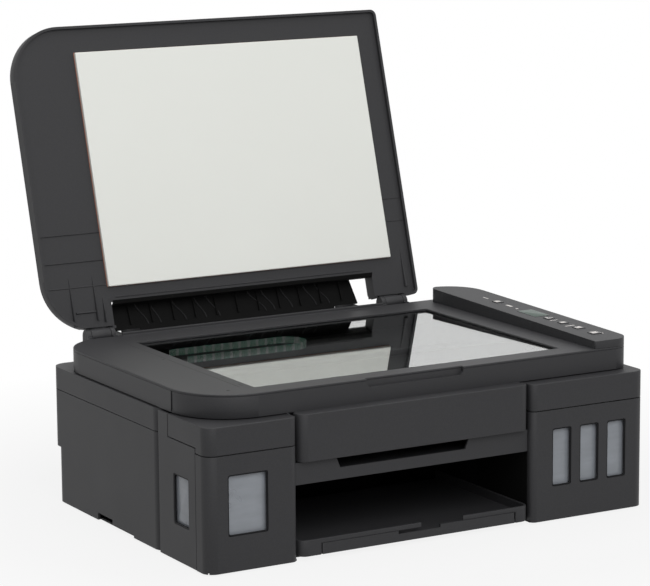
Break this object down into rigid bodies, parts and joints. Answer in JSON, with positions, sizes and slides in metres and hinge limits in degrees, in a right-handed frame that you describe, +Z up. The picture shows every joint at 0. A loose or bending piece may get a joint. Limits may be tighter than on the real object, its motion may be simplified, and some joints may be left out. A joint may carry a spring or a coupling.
{
  "type": "inkjet printer",
  "caption": "All-in-one inkjet printer with front ink tanks, flatbed scanner under a hinged lid, rear paper feed and pull-out output tray.",
  "frame": {"origin": "on the surface it stands on, under the middle of the whole printer with its lid open", "axes": "+X to the right as seen by the user, +Y to the rear, +Z up; the user stands at -Y"},
  "size_m": [0.4384, 0.397, 0.4195],
  "materials": {
    "casing": "fine matte texture, charcoal",
    "dark_plastic": "black moulded plastic",
    "button_plastic": "satin black",
    "display": "glossy dark window",
    "steel": "zinc plated",
    "rubber": "matte black",
    "tube": "soft tube",
    "tank": "clear moulded plastic",
    "glass": "clear float glass",
    "pad": "white film over foam",
    "flat_cable": "pale flat cable",
    "board": "green circuit board"
  },
  "bodies": {
    "printer_body": {"base_tray": "dark_plastic", "rubber_feet": "rubber", "left_side_panel": "casing", "right_side_panel": "casing", "rear_cover": "casing", "top_cover": "casing", "left_front_bezel": "casing", "left_side_bezel": "casing", "left_tank_cover": "casing", "right_tank_bezel": "casing", "right_tank_cover": "casing", "output_bezel": "casing", "black_ink_tank": "tank", "cyan_ink_tank": "tank", "magenta_ink_tank": "tank", "yellow_ink_tank": "tank", "tank_caps": "rubber", "ink_tubes": "tube", "chassis": "steel", "carriage_belt": "rubber", "drive_motors": "dark_plastic", "platen": "dark_plastic", "feed_belt": "rubber", "rear_tray": "dark_plastic", "purge_unit": "dark_plastic", "power_supply": "dark_plastic", "main_board": "board"},
    "print_carriage": {"carriage": "dark_plastic", "print_heads": "dark_plastic"},
    "scanner_unit": {"scanner_case": "casing", "scanner_frame": "casing", "platen_glass": "glass", "ribbon_cable": "flat_cable", "front_panel": "casing", "operation_panel": "casing", "display_window": "display"},
    "scanner_lid": {"lid_shell": "casing", "lid_liner": "casing", "document_pad": "pad", "lid_hinges": "dark_plastic"},
    "drive_pulley": {"drive_pulley": "steel"},
    "idler_pulley": {"idler_pulley": "steel"},
    "feed_roller": {"feed_roller": "steel"},
    "pinch_rollers": {"pinch_rollers": "dark_plastic"},
    "eject_roller": {"eject_roller": "steel"},
    "star_wheels": {"star_wheels": "steel"},
    "pickup_roller": {"pickup_roller": "rubber"},
    "left_paper_guide": {"left_paper_guide": "casing"},
    "right_paper_guide": {"right_paper_guide": "casing"},
    "paper_support": {"paper_support": "casing"},
    "support_extension": {"support_extension": "casing"},
    "feed_slot_cover": {"feed_slot_cover": "casing"},
    "output_tray": {"output_tray": "casing"},
    "tray_extension": {"tray_extension": "casing"},
    "image_sensor": {"image_sensor": "dark_plastic"},
    "power_button": {"power_button": "button_plastic"},
    "menu_button": {"menu_button": "button_plastic"},
    "stop_button": {"stop_button": "button_plastic"},
    "black_button": {"black_button": "button_plastic"},
    "colour_button": {"colour_button": "button_plastic"}
  },
  "joints": [
    {"name": "lid_hinge", "type": "hinge", "parent": "scanner_unit", "child": "scanner_lid", "pos_m": [-0.01475, 0.10254, 0.1462], "axis": [-1, 0, 0], "range_deg": [-106.5, 0]},
    {"name": "scanner_tilt", "type": "hinge", "parent": "printer_body", "child": "scanner_unit", "pos_m": [0.00325, 0.11154, 0.13], "axis": [1, 0, 0], "range_deg": [-30, 0]},
    {"name": "power_button_press", "type": "slide", "parent": "scanner_unit", "child": "power_button", "axis": [0, 0.0217, -0.9998], "range_m": [0, 0.0008], "stiffness_N_per_m": 800},
    {"name": "menu_button_press", "type": "slide", "parent": "scanner_unit", "child": "menu_button", "axis": [0, 0.0217, -0.9998], "range_m": [0, 0.0008], "stiffness_N_per_m": 800},
    {"name": "stop_button_press", "type": "slide", "parent": "scanner_unit", "child": "stop_button", "axis": [0, 0.0217, -0.9998], "range_m": [0, 0.0008], "stiffness_N_per_m": 800},
    {"name": "black_button_press", "type": "slide", "parent": "scanner_unit", "child": "black_button", "axis": [0, 0.0217, -0.9998], "range_m": [0, 0.0008], "stiffness_N_per_m": 800},
    {"name": "colour_button_press", "type": "slide", "parent": "scanner_unit", "child": "colour_button", "axis": [0, 0.0217, -0.9998], "range_m": [0, 0.0008], "stiffness_N_per_m": 800},
    {"name": "sensor_slide", "type": "slide", "parent": "scanner_unit", "child": "image_sensor", "axis": [1, 0, 0], "range_m": [0, 0.318]},
    {"name": "paper_support_slide", "type": "slide", "parent": "printer_body", "child": "paper_support", "axis": [0, 0.4226, 0.9063], "range_m": [0, 0.06]},
    {"name": "support_extension_slide", "type": "slide", "parent": "paper_support", "child": "support_extension", "axis": [0, 0.4226, 0.9063], "range_m": [0, 0.048]},
    {"name": "feed_slot_cover_hinge", "type": "hinge", "parent": "printer_body", "child": "feed_slot_cover", "pos_m": [-0.01735, 0.10714, 0.14], "axis": [1, 0, 0], "range_deg": [0, 80]},
    {"name": "left_guide_slide", "type": "slide", "parent": "printer_body", "child": "left_paper_guide", "axis": [1, 0, 0], "range_m": [0, 0.058]},
    {"name": "right_guide_slide", "type": "slide", "parent": "printer_body", "child": "right_paper_guide", "axis": [1, 0, 0], "range_m": [-0.058, 0]},
    {"name": "output_tray_slide", "type": "slide", "parent": "printer_body", "child": "output_tray", "axis": [0, -1, 0], "range_m": [0, 0.09]},
    {"name": "tray_extension_slide", "type": "slide", "parent": "output_tray", "child": "tray_extension", "axis": [0, -1, 0], "range_m": [0, 0.08]},
    {"name": "carriage_slide", "type": "slide", "parent": "printer_body", "child": "print_carriage", "axis": [1, 0, 0], "range_m": [-0.28, 0]},
    {"name": "drive_pulley_spin", "type": "hinge", "parent": "printer_body", "child": "drive_pulley", "pos_m": [0.19475, 0.00554, 0.104], "axis": [0, 1, 0], "range_deg": [0, 2411.4]},
    {"name": "idler_pulley_spin", "type": "hinge", "parent": "printer_body", "child": "idler_pulley", "pos_m": [-0.19175, 0.00554, 0.104], "axis": [0, 1, 0], "range_deg": [0, 2411.4]},
    {"name": "feed_roller_spin", "type": "hinge", "parent": "printer_body", "child": "feed_roller", "pos_m": [-0.01735, 0.00154, 0.053], "axis": [1, 0, 0], "continuous": true},
    {"name": "pinch_rollers_spin", "type": "hinge", "parent": "printer_body", "child": "pinch_rollers", "pos_m": [-0.01735, 0.00154, 0.0644], "axis": [1, 0, 0], "continuous": true},
    {"name": "eject_roller_spin", "type": "hinge", "parent": "printer_body", "child": "eject_roller", "pos_m": [-0.01735, -0.09046, 0.053], "axis": [1, 0, 0], "continuous": true},
    {"name": "star_wheels_spin", "type": "hinge", "parent": "printer_body", "child": "star_wheels", "pos_m": [-0.01735, -0.09046, 0.0654], "axis": [1, 0, 0], "continuous": true},
    {"name": "pickup_roller_spin", "type": "hinge", "parent": "printer_body", "child": "pickup_roller", "pos_m": [-0.01735, 0.06863, 0.08246], "axis": [1, 0, 0], "continuous": true}
  ],
  "couplings": [
    {"joint": "right_guide_slide", "follows": "left_guide_slide", "ratio": -1},
    {"joint": "drive_pulley_spin", "follows": "carriage_slide", "rad_per_m": -150},
    {"joint": "idler_pulley_spin", "follows": "carriage_slide", "rad_per_m": -150},
    {"joint": "pinch_rollers_spin", "follows": "feed_roller_spin", "ratio": -1.625},
    {"joint": "eject_roller_spin", "follows": "feed_roller_spin", "ratio": 1},
    {"joint": "star_wheels_spin", "follows": "feed_roller_spin", "ratio": -1.3}
  ]
}
